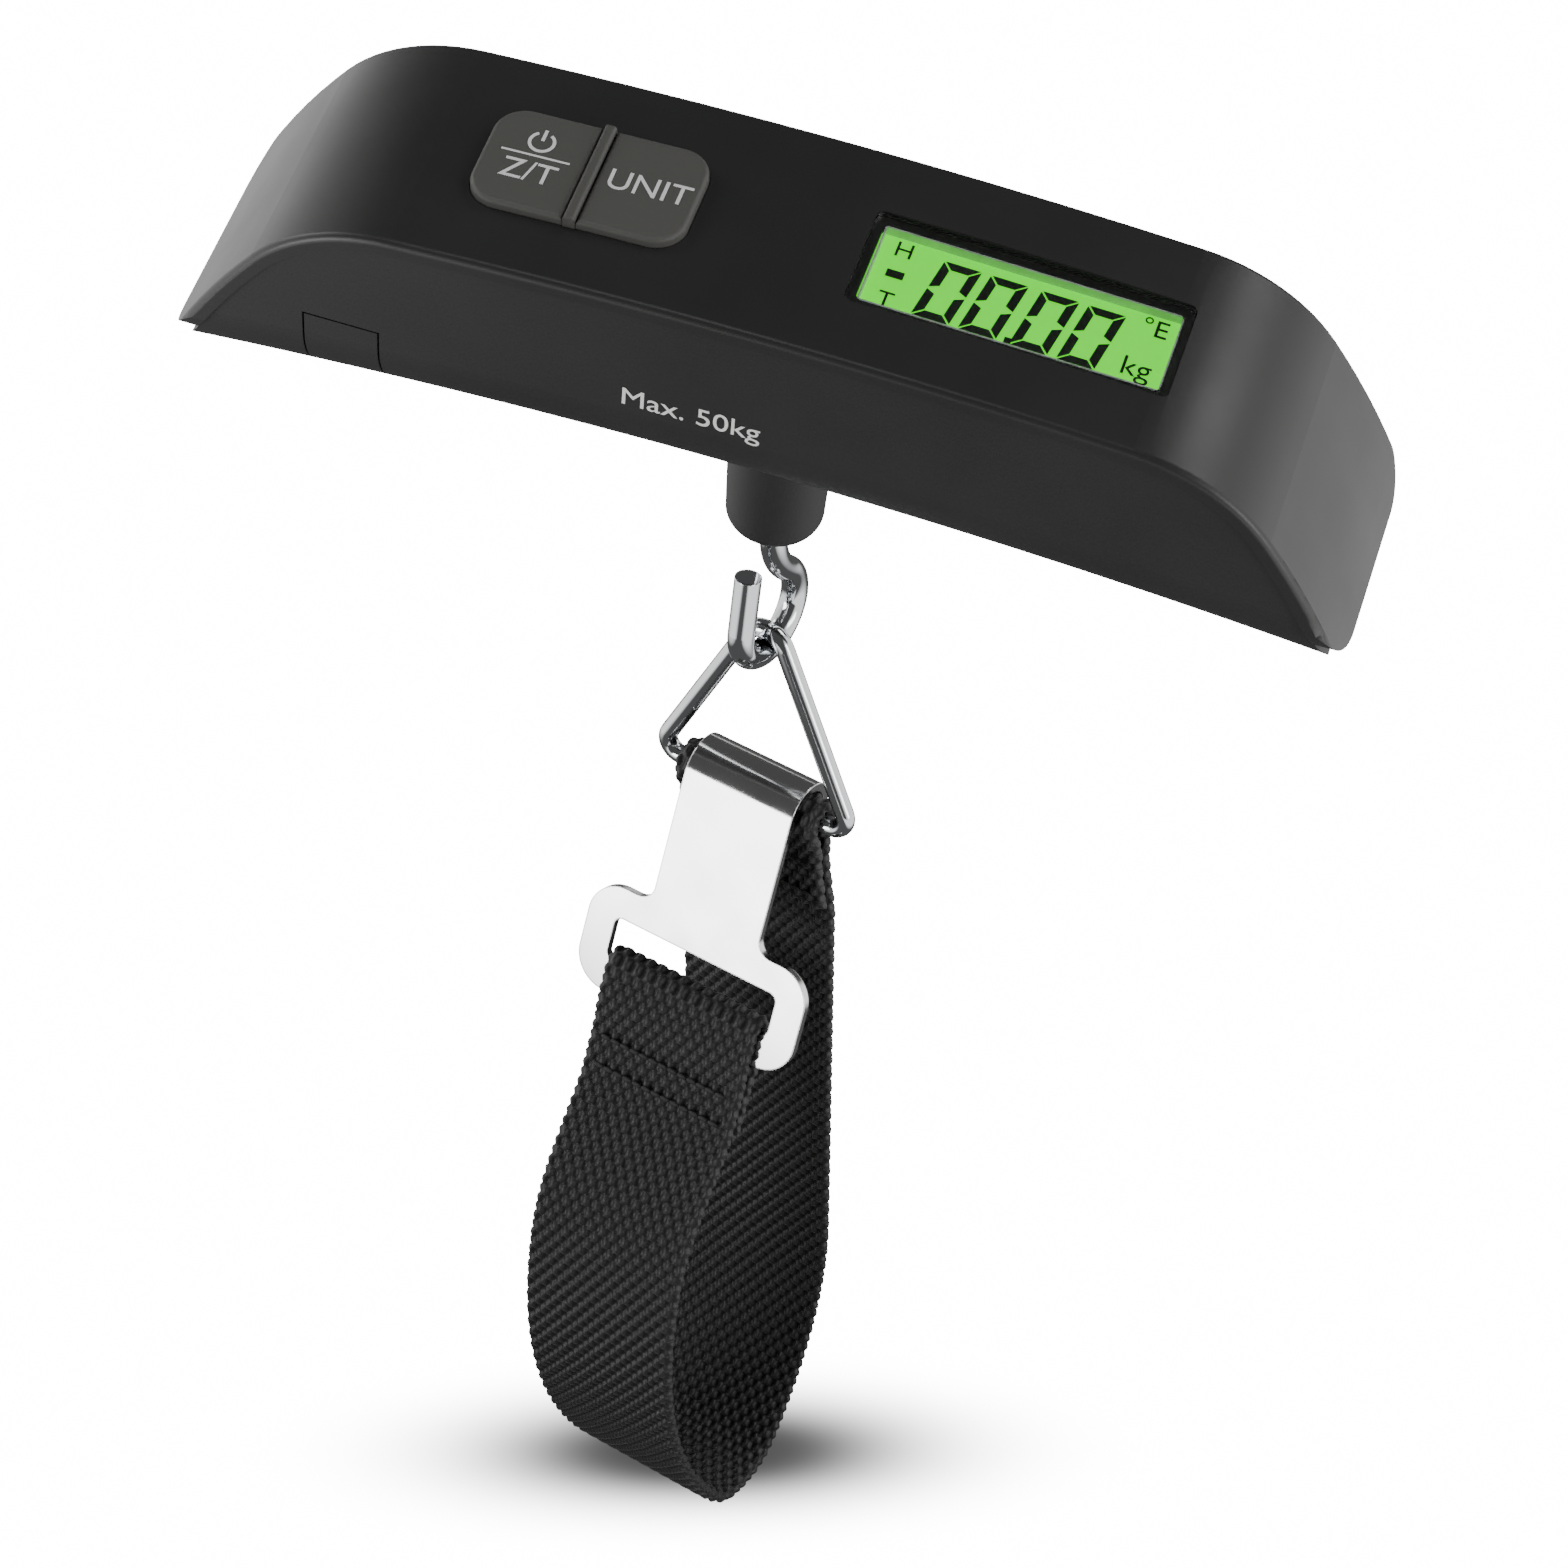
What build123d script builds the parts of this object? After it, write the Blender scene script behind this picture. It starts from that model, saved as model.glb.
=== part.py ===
from build123d import *
from math import asin, atan2, cos, degrees, radians, sin, tan
import os

# Digital luggage scale, in mm. X runs along the body, -Y is the front, +Z is up.
# The origin is on the hook's swivel axis, level with the tips of the arched cover.

# ---- body ----
length = 150.0  # tip to tip
depth = 34.0  # front rim to back rim
height = 31.0  # tips to crown
crown_radius = 690.0  # the body is gently bowed along its length
shoulder_start = 29.5  # from a tip to where the shoulder begins
shoulder_turn = 53.0  # slope where the shoulder meets the flank
tip_turn = 66.0  # slope at the tips
wall = 2.2  # cover
housing_wall = 2.0
rim_edge = 0.9  # rounding of the cover's long edges
tip_corner = 7.5  # rounding of the cover's four tips, seen from its ends
panel_inset = 0.6  # front panel behind the cover's rim
seam = 0.15  # gap between cover and housing
belly_radius = 12.0  # long lower edges of the housing
belly_drop = 1.1  # belly below the tips, at the middle
flat_drop = 1.0  # flat part of the underside below the tips

# ---- display ----
display_x = 27.3
window_length = 39.8
window_width = 14.9
window_corner = 1.0
window_ledge = 1.2
lens_thickness = 1.1
lens_sink = 0.5  # lens below the crown, so that no end of it stands proud
cell_margin = 0.7  # display cell past the window
display_glass = 2.4
guide_thickness = 1.8
frame_rim = 1.3
frame_gap = 0.1

# ---- keys ----
keys_x = -26.3
keys_length = 27.0
keys_width = 15.6
keys_corner = 4.0
keys_stand = 1.2  # above the cover
key_edge = 0.6
rib_width = 1.5
rib_stand = 0.45  # above the keys
key_travel = 0.7
key_gap = 0.12
key_flange = 1.1
flange_thickness = 1.0
stem_radius = 1.6

# ---- electronics ----
board_length = 97.0
board_width = 23.0
board_thickness = 1.2
board_top = 21.2
board_x = 1.5
board_screw_x = (-44.0, -4.0)
board_screw_y = 8.3
board_post_radius = 2.2
switch_size = 6.0
switch_height = 2.6
plunger_radius = 1.5
plunger_height = 0.8
coin_radius = 10.0
coin_thickness = 3.2
wire_radius = 0.5
wire_bend = 1.5

# ---- load cell ----
beam_length = 52.0
beam_width = 11.0
beam_height = 9.0
beam_floor = 4.6  # level of the beam's underside
beam_overhang = 7.0  # past the swivel axis
beam_eye = 3.3
beam_eyes = (14.0, 24.0)
beam_screws = (35.5, 41.5)
gauge_size = (7.0, 5.0, 0.3)

# ---- boss and swivel ----
boss_top_radius = 6.9
boss_end_radius = 6.3
boss_end = -21.0
boss_round = 1.4
boss_bore = 4.7
bore_top = -9.6
ball_level = -15.0
ball_radius = 3.0
ball_fit = 0.05
socket_radius = 4.2
socket_above = 4.6
socket_below = 1.5
stud_radius = 2.5
stud_gap = 0.4
washer_radius = 4.6
washer_thickness = 0.8
nut_flats = 8.0
nut_height = 3.2

# ---- hook and ring ----
hook_wire = 1.8
hook_bend = 6.2  # radius to the wire's centre
hook_shank = 8.0  # ball centre to the start of the bend
hook_centre = 21.0  # ball centre to the centre of the bend
hook_tip_lean = 5.0
hook_tip = 8.6
ring_wire = 1.3
ring_height = 27.6
ring_slope = 26.0  # legs from the centre line
ring_corner = 2.2
ring_top_corner = 3.3
ring_gap = 0.15

# ---- strap and plate ----
web_width = 24.6
web_gather = 22.6  # width where it is folded round the ring's bar
web_thickness = 1.8
web_gap = 0.12  # webbing to wire or plate
gather_end = 8.0  # below the ring's bar, to where the webbing begins to widen
gather_run = 9.0
fold_drop = 4.6  # a bar's side to where the folded end lies on the strap
fold_ease = 2.5
layer_gap = 0.1  # between the sewn layers
ring_tail = 15.0  # sewn end below the ring's bar
plate_tail = 16.0  # sewn end below the plate's slot
back_lean = 5.4  # the strap's back run, hanging away from the ring
back_length = 69.7  # straight part of the back run
back_bend = 51.8
back_turn = 43.4
leave_bend = 15.0
leave_turn = 14.0  # the front run stands forward of the plate
front_length = 8.6  # straight part of the front run
front_bend = 31.3
front_turn = 25.8
flank_bend = 74.0
flank_turn = 45.5
low_bend = 8.0
loop_y = -8.4  # where the two lengths meet, at the bottom of the loop
web_split = 0.6
plate_gap = 0.3  # plate's roll to the webbing
plate_thickness = 1.2
plate_lean = 19.0
neck_half = 8.5
neck_length = 19.6  # ring's bar to the shoulders
neck_fillet = 2.2
shoulder_half = 17.5
foot_length = 15.6
foot_corner = 5.0
slot_half = 13.1
slot_height = 6.4
slot_top = 4.4  # below the shoulders
slot_corner = 1.2
plate_lip = 1.0

# ---- rest pose of what hangs ----
swivel_turn = -16.4
forward_lean = -12.8
side_lean = -4.2

# ---- battery door ----
door_x = -47.0
tab_x = -52.0  # its finger tab, on the front panel
door_length = 25.0
door_front = -13.6
door_back = 9.0
door_gap = 0.25
hinge_depth = 1.0
pin_radius = 0.6
pin_length = 1.2
pin_fit = 0.05
tab_half = 4.7
tab_top = 12.0
well_wall = 1.2
well_top = 7.2
well_ceiling = 8.4
coin_y = -1.5
coin_lift = 2.0  # above the housing's floor
strip_thickness = 0.3
strip_half = 2.0
strip_rise = 1.6

# ---- screws ----
screw_radius = 1.1
screw_head = 2.1
head_thickness = 1.2
post_radius = 3.0
post_x = 64.0
post_y = 6.5
post_level = 7.0  # where the cover's posts meet the housing's
pilot_depth = 4.0
fit_gap = 0.1

os.makedirs("parts", exist_ok=True)


# A piece is labelled with its node's name and written to its own file.
def save(piece, name):
    piece.label = name
    export_step(piece, f"parts/{name}.step")


# Radii of the shoulder and the flank, so that both ends of the arch land on the tips.
def end_radii():
    start = length / 2 - shoulder_start
    a, b, c = asin(start / crown_radius), radians(shoulder_turn), radians(tip_turn)
    fall = height - crown_radius * (1 - cos(a))
    run_1, run_2 = sin(b) - sin(a), sin(c) - sin(b)
    fall_1, fall_2 = cos(a) - cos(b), cos(b) - cos(c)
    scale = run_1 * fall_2 - run_2 * fall_1
    shoulder = (shoulder_start * fall_2 - run_2 * fall) / scale
    flank = (run_1 * fall - shoulder_start * fall_1) / scale
    return shoulder, flank


shoulder_radius, flank_radius = end_radii()


# A plane that touches the crown at x, or lies a distance below it there.
def crown_plane(x, below=0.0):
    tilt = asin(x / crown_radius)
    reach = crown_radius - below
    middle = height - crown_radius
    return Plane(
        origin=(reach * sin(tilt), 0, middle + reach * cos(tilt)),
        x_dir=(cos(tilt), 0, -sin(tilt)),
        z_dir=(sin(tilt), 0, cos(tilt)),
    )


# How far the crown falls from its tangent plane at a distance from the point they touch.
def sag(distance):
    return distance**2 / (2 * crown_radius)


# The same where the distance reaches past the crown, on to the round of the shoulder.
def shoulder_fall(x, distance):
    edge = length / 2 - shoulder_start
    over = max(0.0, x + distance - edge)
    round_fall = over**2 / 2 * (1 / shoulder_radius - 1 / crown_radius)
    return sag(distance) + 1.1 * round_fall


# The arch seen from the front, inset evenly from the cover's outside. Its flanks run
# on straight to the level `low`.
def arch(inset, low):
    middle = degrees(asin((length / 2 - shoulder_start) / crown_radius))
    with BuildSketch(Plane.XZ) as face:
        with BuildLine():
            top = JernArc((0, height - inset), (1, 0), crown_radius - inset, -middle)
            bend = JernArc(top @ 1, top % 1, shoulder_radius - inset, middle - shoulder_turn)
            flank = JernArc(bend @ 1, bend % 1, flank_radius - inset, shoulder_turn - tip_turn)
            end = flank @ 1
            foot = (end.X + (end.Y - low) / tan(radians(tip_turn)), low)
            Line((end.X, end.Y), foot)
            mirror(about=Plane.YZ)
            Line(foot, (-foot[0], low))
        make_face()
    return face.sketch


# The housing's outside, or its cavity when inset by the wall: a section with round
# lower corners, bowed about the crown's centre and cut by the arch and a flat below.
def tray(inset, arch_inset):
    half = depth / 2 - panel_inset - inset
    low = inset - belly_drop
    outline = arch(arch_inset, -height)
    with BuildPart() as form:
        with BuildSketch(Plane.YZ):
            with BuildLine():
                FilletPolyline(
                    (-half, 2 * height),
                    (-half, low),
                    (half, low),
                    (half, 2 * height),
                    radius=belly_radius - inset,
                )
                Line((half, 2 * height), (-half, 2 * height))
            make_face()
        sweep_angle = degrees(asin(0.6 * length / crown_radius))
        revolve(axis=Axis((0, 0, height - crown_radius), (0, 1, 0)), revolution_arc=sweep_angle)
        mirror(about=Plane.YZ)
        extrude(outline, amount=depth, both=True, mode=Mode.INTERSECT)
        split(bisect_by=Plane.XY.offset(inset - flat_drop), keep=Keep.TOP)
    return form.part


# A box by its lowest and highest corners, for cuts and plain blocks.
def block(low, high):
    size = [b - a for a, b in zip(low, high)]
    middle = [(a + b) / 2 for a, b in zip(low, high)]
    return Pos(*middle) * Box(*size)


# A round wire along points whose corners are rounded.
def wire_run(points, radius, bend):
    with BuildPart() as run:
        with BuildLine() as path:
            FilletPolyline(*points, radius=bend)
        with BuildSketch(Plane(origin=path.wire() @ 0, z_dir=path.wire() % 0)):
            Circle(radius)
        sweep()
    return run.part


# ---------------------------------------------------------------- cover and housing
window_depth = lens_thickness + lens_sink
screw_spots = [(sx * post_x, sy * post_y) for sx in (-1, 1) for sy in (-1, 1)]
board_spots = [(x, sy * board_screw_y) for x in board_screw_x for sy in (-1, 1)]
cover_outline = arch(0, -height)
cover_inside = arch(wall, -height)
room_inside = arch(wall - fit_gap, -height)

with BuildPart() as cover_posts:
    with BuildSketch(Plane.XY.offset(post_level)):
        with Locations(*screw_spots):
            Circle(post_radius)
    extrude(amount=height)
    with BuildSketch(Plane.XY.offset(board_top)):
        with Locations(*board_spots):
            Circle(board_post_radius)
    extrude(amount=height)
    with BuildSketch(Plane.XY.offset(post_level)):
        with Locations(*screw_spots):
            Circle(screw_radius)
    extrude(amount=pilot_depth, mode=Mode.SUBTRACT)
    with BuildSketch(Plane.XY.offset(board_top)):
        with Locations(*board_spots):
            Circle(screw_radius)
    extrude(amount=pilot_depth, mode=Mode.SUBTRACT)
    extrude(room_inside, amount=depth, both=True, mode=Mode.INTERSECT)

with BuildPart() as top_cover:
    extrude(cover_outline, amount=depth / 2, both=True)
    rims = top_cover.faces().filter_by(Axis.Y).edges()
    fillet(rims.filter_by(lambda e: e.center().Z > 1 - height), rim_edge)
    extrude(cover_inside, amount=depth, both=True, mode=Mode.SUBTRACT)
    split(bisect_by=Plane.XY, keep=Keep.TOP)
    with BuildSketch(crown_plane(display_x, window_depth)):
        RectangleRounded(window_length, window_width, window_corner)
    extrude(amount=2 * wall, mode=Mode.SUBTRACT)
    with BuildSketch(crown_plane(display_x, 2 * wall)):
        see_length = window_length - 2 * window_ledge
        see_width = window_width - 2 * window_ledge
        RectangleRounded(see_length, see_width, window_corner)
    extrude(amount=4 * wall, mode=Mode.SUBTRACT)
    with BuildSketch(crown_plane(keys_x, 2 * wall)):
        open_length = keys_length + 2 * key_gap
        RectangleRounded(open_length, keys_width + 2 * key_gap, keys_corner + key_gap)
    extrude(amount=4 * wall, mode=Mode.SUBTRACT)
    add(cover_posts.part)
    with BuildSketch(Plane.YZ):
        with Locations((0, height)):
            RectangleRounded(depth + 2 * seam, 2 * height, tip_corner)
    extrude(amount=length, both=True, mode=Mode.INTERSECT)
save(top_cover.part, "top_cover")

housing_form = tray(0, wall + seam)
housing_cavity = tray(housing_wall, -wall)
inner_floor = housing_wall - flat_drop
inner_half = depth / 2 - panel_inset - housing_wall
well_low = (door_x - door_length / 2 - well_wall, door_front - well_wall)
well_high = (door_x + door_length / 2 + well_wall, door_back + door_gap + well_wall)


# The region of the housing that the battery door fills, grown by a gap.
def door_region(gap):
    half = door_length / 2 + gap
    floor_block = block(
        (door_x - half, door_front - gap, -2 * flat_drop),
        (door_x + half, door_back + gap, inner_floor + 3.0),
    )
    tab_block = block(
        (tab_x - tab_half - gap, -depth, -2 * flat_drop),
        (tab_x + tab_half + gap, door_front, tab_top + gap),
    )
    return floor_block + tab_block


shell = housing_form - housing_cavity
hinge_y = door_back - hinge_depth
hinge_z = hinge_depth - flat_drop
door_hole = shell & door_region(door_gap)
door_piece = shell & door_region(0)
well = block((*well_low, inner_floor), (*well_high, well_ceiling))
well_room = block(
    (well_low[0] + well_wall, -inner_half, -flat_drop),
    (well_high[0] - well_wall, well_high[1] - well_wall, well_top),
)
coin_low = inner_floor + coin_lift
coin_top = coin_low + coin_thickness
coin_rim = door_x - coin_radius
minus_riser_low = (door_x + 4.0, coin_y - strip_half, coin_top)
minus_riser_high = (door_x + 4.0 + strip_thickness, coin_y + strip_half, well_ceiling + strip_rise)
plus_riser_low = (coin_rim - strip_thickness, coin_y - strip_half, coin_low)
plus_riser_high = (coin_rim, coin_y + strip_half, well_ceiling + strip_rise)
minus_riser = block(minus_riser_low, minus_riser_high)
plus_riser = block(plus_riser_low, plus_riser_high)
minus_leaf = block(
    (door_x - 6.0, coin_y - strip_half, coin_top),
    (door_x + 4.0, coin_y + strip_half, coin_top + strip_thickness),
)
riser_holes = offset(minus_riser, fit_gap) + offset(plus_riser, fit_gap)
well_shell = ((well - well_room) & housing_cavity) - riser_holes

with BuildPart() as boss:
    with BuildSketch(Plane.XY.offset(boss_end)):
        Circle(boss_end_radius)
    with BuildSketch(Plane.XY.offset(housing_wall / 2)):
        Circle(boss_top_radius)
    loft()
    fillet(boss.edges().group_by(Axis.Z)[0], boss_round)

with BuildPart() as lower_housing:
    add(shell)
    add(door_hole, mode=Mode.SUBTRACT)
    add(well_shell)
    add(boss.part)
    with BuildSketch(Plane.XY.offset(inner_floor)):
        with Locations(*screw_spots):
            Circle(post_radius)
    extrude(amount=post_level - inner_floor)
    seat_x = (beam_screws[0] + beam_screws[1]) / 2
    with BuildSketch(Plane.XY.offset(inner_floor)):
        with Locations((seat_x, 0)):
            Rectangle(beam_screws[1] - beam_screws[0] + 6.0, beam_width)
    extrude(amount=beam_floor - inner_floor)
    with Locations(*[(x, y, -flat_drop) for x, y in screw_spots]):
        Cylinder(screw_head + fit_gap, 2 * head_thickness, mode=Mode.SUBTRACT)
        Cylinder(screw_radius + fit_gap, 4 * post_level, mode=Mode.SUBTRACT)
    with Locations(*[(x, 0, beam_floor) for x in beam_screws]):
        Cylinder(screw_radius, 2 * (beam_floor - inner_floor), mode=Mode.SUBTRACT)
    with Locations((0, 0, bore_top)):
        upper = Align.CENTER, Align.CENTER, Align.MIN
        Cylinder(stud_radius + stud_gap, height, align=upper, mode=Mode.SUBTRACT)
    with Locations((0, 0, boss_end)):
        Cylinder(boss_bore, bore_top - boss_end, align=upper, mode=Mode.SUBTRACT)
    with Locations((door_x, hinge_y, hinge_z)):
        pin_hole = door_length + 2 * (door_gap + pin_length)
        Cylinder(pin_radius + pin_fit, pin_hole, rotation=(0, 90, 0), mode=Mode.SUBTRACT)
save(lower_housing.part, "lower_housing")

with BuildPart() as battery_door:
    add(door_piece)
    knuckle = battery_door.edges().filter_by(Axis.X)
    fillet(
        knuckle.filter_by(lambda e: e.center().Y > door_back - 0.01 and e.center().Z < hinge_z),
        0.95 * hinge_depth,
    )
    with Locations((door_x, hinge_y, hinge_z)):
        Cylinder(pin_radius, door_length + 2 * pin_length, rotation=(0, 90, 0))
save(battery_door.part, "battery_door")

# ---------------------------------------------------------------- display
glass_length = window_length + 2 * cell_margin
glass_width = window_width + 2 * cell_margin
cell_reach = glass_length / 2 + frame_rim
cell_top = wall + fit_gap + shoulder_fall(display_x, cell_reach)
display_low = cell_top + display_glass + guide_thickness

with BuildPart() as lcd_lens:
    with BuildSketch(crown_plane(display_x, window_depth)):
        RectangleRounded(
            window_length - 2 * frame_gap, window_width - 2 * frame_gap, window_corner - frame_gap
        )
    extrude(amount=lens_thickness)
save(lcd_lens.part, "lcd_lens")

with BuildPart() as lcd_glass:
    with BuildSketch(crown_plane(display_x, cell_top + display_glass)):
        Rectangle(glass_length, glass_width)
    extrude(amount=display_glass)
save(lcd_glass.part, "lcd_glass")

with BuildPart() as backlight:
    with BuildSketch(crown_plane(display_x, display_low)):
        Rectangle(glass_length, glass_width)
    extrude(amount=guide_thickness)
save(backlight.part, "backlight")

with BuildPart() as lcd_frame:
    with BuildSketch(crown_plane(display_x, 3 * wall + display_low)):
        Rectangle(glass_length + 2 * frame_rim, glass_width + 2 * frame_rim)
        Rectangle(glass_length + 2 * frame_gap, glass_width + 2 * frame_gap, mode=Mode.SUBTRACT)
    extrude(amount=3 * wall + display_low - cell_top)
    split(bisect_by=Plane.XY.offset(board_top), keep=Keep.TOP)
save(lcd_frame.part, "lcd_frame")

with BuildPart() as zebra_strip:
    with BuildSketch(Plane.XY.offset(board_top)):
        with Locations((display_x, 0)):
            Rectangle(glass_length - 4.0, 2.0)
    extrude(amount=height)
    split(bisect_by=crown_plane(display_x, display_low), keep=Keep.BOTTOM)
save(zebra_strip.part, "zebra_strip")

# ---------------------------------------------------------------- keys
key_half = (keys_length - rib_width) / 2 - key_gap
key_offset = rib_width / 2 + key_gap


# One key: side -1 is the left one. Its cap stands through the cover, its flange stops
# against the cover's inside and its stem ends over a switch.
def key(side):
    cap_x = (side * key_offset, side * (key_offset + key_half))
    low_x, high_x = min(cap_x), max(cap_x)
    flange_top = wall + fit_gap + sag(keys_length / 2 + key_flange)
    with BuildPart() as piece:
        with BuildSketch(crown_plane(keys_x, flange_top)):
            RectangleRounded(keys_length, keys_width, keys_corner)
            with Locations(((low_x + high_x) / 2, 0)):
                Rectangle(high_x - low_x, keys_width, mode=Mode.INTERSECT)
        extrude(amount=flange_top + keys_stand)
        rim = piece.faces().sort_by(Axis.Z)[-1].edges()
        fillet(rim, key_edge)
        with BuildSketch(crown_plane(keys_x, flange_top + flange_thickness)):
            RectangleRounded(keys_length + 2 * key_flange, keys_width + 2 * key_flange, keys_corner)
            reach = side * (key_offset + keys_length / 4 + key_flange / 2)
            with Locations((reach, 0)):
                Rectangle(keys_length / 2 + key_flange, 2 * keys_width, mode=Mode.INTERSECT)
        extrude(amount=flange_thickness)
        with BuildSketch(crown_plane(keys_x, flange_top + flange_thickness)):
            with Locations(((low_x + high_x) / 2, 0)):
                Circle(stem_radius)
        extrude(amount=-height / 2)
        stem_end = board_top + switch_height + plunger_height + key_travel + fit_gap
        split(bisect_by=Plane.XY.offset(stem_end), keep=Keep.TOP)
    return piece.part


key_middle = key_offset + key_half / 2
for key_name, switch_name, side in (
    ("power_button", "power_switch", -1),
    ("unit_button", "unit_switch", 1),
):
    save(key(side), key_name)
    with BuildPart() as switch:
        with BuildSketch(Plane.XY.offset(board_top)):
            with Locations((keys_x + side * key_middle, 0)):
                Rectangle(switch_size, switch_size)
        extrude(amount=switch_height)
        with BuildSketch(Plane.XY.offset(board_top + switch_height)):
            with Locations((keys_x + side * key_middle, 0)):
                Circle(plunger_radius)
        extrude(amount=plunger_height)
    save(switch.part, switch_name)

with BuildPart() as button_rib:
    with BuildSketch(crown_plane(keys_x, wall)):
        Rectangle(rib_width, keys_width + 2 * key_gap)
    extrude(amount=wall + keys_stand + rib_stand)
    fillet(button_rib.faces().sort_by(Axis.Z)[-1].edges().filter_by(Axis.Y), rib_width / 3)
save(button_rib.part, "button_rib")

# ---------------------------------------------------------------- electronics
board_low = board_top - board_thickness

with BuildPart() as main_board:
    with BuildSketch(Plane.XY.offset(board_low)):
        with Locations((board_x, 0)):
            RectangleRounded(board_length, board_width, 1.5)
        with Locations(*board_spots):
            Circle(screw_radius + fit_gap, mode=Mode.SUBTRACT)
    extrude(amount=board_thickness)
save(main_board.part, "main_board")

with BuildPart() as controller_chip:
    with BuildSketch(Plane.XY.offset(board_low)):
        with Locations((-22, 2)):
            Rectangle(9, 9)
    extrude(amount=-1.5)
    chamfer(controller_chip.faces().sort_by(Axis.Z)[0].edges(), 0.3)
save(controller_chip.part, "controller_chip")

with BuildPart() as crystal:
    with BuildSketch(Plane.XY.offset(board_low)):
        with Locations((-10, 6)):
            SlotOverall(8.0, 3.2)
    extrude(amount=-2.4)
    fillet(crystal.faces().sort_by(Axis.Z)[0].edges(), 0.4)
save(crystal.part, "crystal")

with BuildPart() as thermistor:
    with Locations((-34, -6, board_low - 1.4)):
        Sphere(1.2)
    with Locations((-34.4, -6, board_low), (-33.6, -6, board_low)):
        Cylinder(0.25, 1.4, align=(Align.CENTER, Align.CENTER, Align.MAX))
save(thermistor.part, "thermistor")

with BuildPart() as coin_cell:
    with BuildSketch(Plane.XY.offset(coin_low)):
        with Locations((door_x, coin_y)):
            Circle(coin_radius)
    extrude(amount=coin_thickness)
    chamfer(coin_cell.edges().group_by(Axis.Z)[0], 0.5)
    fillet(coin_cell.edges().group_by(Axis.Z)[-1], 0.4)
save(coin_cell.part, "coin_cell")


with BuildPart() as cell_contact_minus:
    add(minus_leaf)
    add(minus_riser)
save(cell_contact_minus.part, "cell_contact_minus")

with BuildPart() as cell_contact_plus:
    add(plus_riser)
save(cell_contact_plus.part, "cell_contact_plus")

contact_level = well_ceiling + strip_rise
battery_runs = []
for start_x, end_x in (
    (door_x + 4.0 + strip_thickness / 2, door_x + 12.0),
    (coin_rim - strip_thickness / 2, coin_rim + 6.0),
):
    battery_runs.append(
        wire_run(
            (
                (start_x, coin_y, contact_level),
                (start_x, coin_y, contact_level + 4.5),
                (end_x, coin_y, board_low - 4.5),
                (end_x, coin_y, board_low),
            ),
            wire_radius,
            wire_bend,
        )
    )
with BuildPart() as battery_wires:
    add(battery_runs)
save(battery_wires.part, "battery_wires")

# ---------------------------------------------------------------- load cell
beam_top = beam_floor + beam_height
beam_middle = beam_floor + beam_height / 2
beam_end = beam_length - beam_overhang
eye_middle = (beam_eyes[0] + beam_eyes[1]) / 2

with BuildPart() as load_cell:
    with BuildSketch(Plane.XZ):
        with Locations((beam_end - beam_length / 2, beam_middle)):
            Rectangle(beam_length, beam_height)
        with Locations(*[(x, beam_middle) for x in beam_eyes]):
            Circle(beam_eye, mode=Mode.SUBTRACT)
        with Locations((eye_middle, beam_middle)):
            Rectangle(beam_eyes[1] - beam_eyes[0], beam_eye, mode=Mode.SUBTRACT)
    extrude(amount=beam_width / 2, both=True)
    chamfer(load_cell.edges().filter_by(Axis.Y).filter_by(lambda e: e.center().X < 0), 0.5)
    with Locations((0, 0, beam_middle)):
        Cylinder(stud_radius + ball_fit, 2 * beam_height, mode=Mode.SUBTRACT)
    with Locations(*[(x, 0, beam_middle) for x in beam_screws]):
        Cylinder(screw_radius + fit_gap, 2 * beam_height, mode=Mode.SUBTRACT)
save(load_cell.part, "load_cell")

with BuildPart() as strain_gauges:
    for level, grow in ((beam_top, 1), (beam_floor, -1)):
        with BuildSketch(Plane.XY.offset(level)):
            with Locations(*[(x, 0) for x in beam_eyes]):
                Rectangle(gauge_size[0], gauge_size[1])
        extrude(amount=grow * gauge_size[2])
save(strain_gauges.part, "strain_gauges")

sensor_runs = []
for i in range(4):
    wire_y = (i - 1.5) * 1.3
    gauge_x = beam_eyes[i // 2] + 1.0
    sensor_runs.append(
        wire_run(
            (
                (gauge_x, wire_y, beam_top + gauge_size[2]),
                (gauge_x, wire_y, beam_top + gauge_size[2] + 2.6),
                (gauge_x - 8.0, wire_y, board_low - 2.6),
                (gauge_x - 8.0, wire_y, board_low),
            ),
            wire_radius,
            0.9 * wire_bend,
        )
    )
with BuildPart() as sensor_wires:
    add(sensor_runs)
save(sensor_wires.part, "sensor_wires")


# A pan-head screw at each spot, its head on the level `seat`, pointing up or down.
def screws(spots, seat, shank, upward):
    sign = 1 if upward else -1
    with BuildPart() as group:
        with BuildSketch(Plane.XY.offset(seat)):
            with Locations(*spots):
                Circle(screw_head)
        extrude(amount=-sign * head_thickness)
        fillet(group.faces().group_by(Axis.Z)[0 if upward else -1].edges(), 0.4)
        with BuildSketch(Plane.XY.offset(seat)):
            with Locations(*spots):
                Circle(screw_radius)
        extrude(amount=sign * shank)
        with BuildSketch(Plane.XY.offset(seat - sign * head_thickness)):
            with Locations(*spots):
                Rectangle(2.0, 0.5)
                Rectangle(0.5, 2.0)
        extrude(amount=sign * 0.6, mode=Mode.SUBTRACT)
    return group.part


screw_seat = head_thickness - flat_drop
housing_reach = post_level - screw_seat + pilot_depth - fit_gap
save(screws(screw_spots, screw_seat, housing_reach, True), "housing_screws")
board_reach = board_thickness + pilot_depth - fit_gap
save(screws(board_spots, board_low, board_reach, True), "board_screws")
beam_spots = [(x, 0) for x in beam_screws]
beam_reach = beam_top - inner_floor - fit_gap
save(screws(beam_spots, beam_top, beam_reach, False), "load_cell_screws")

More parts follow.
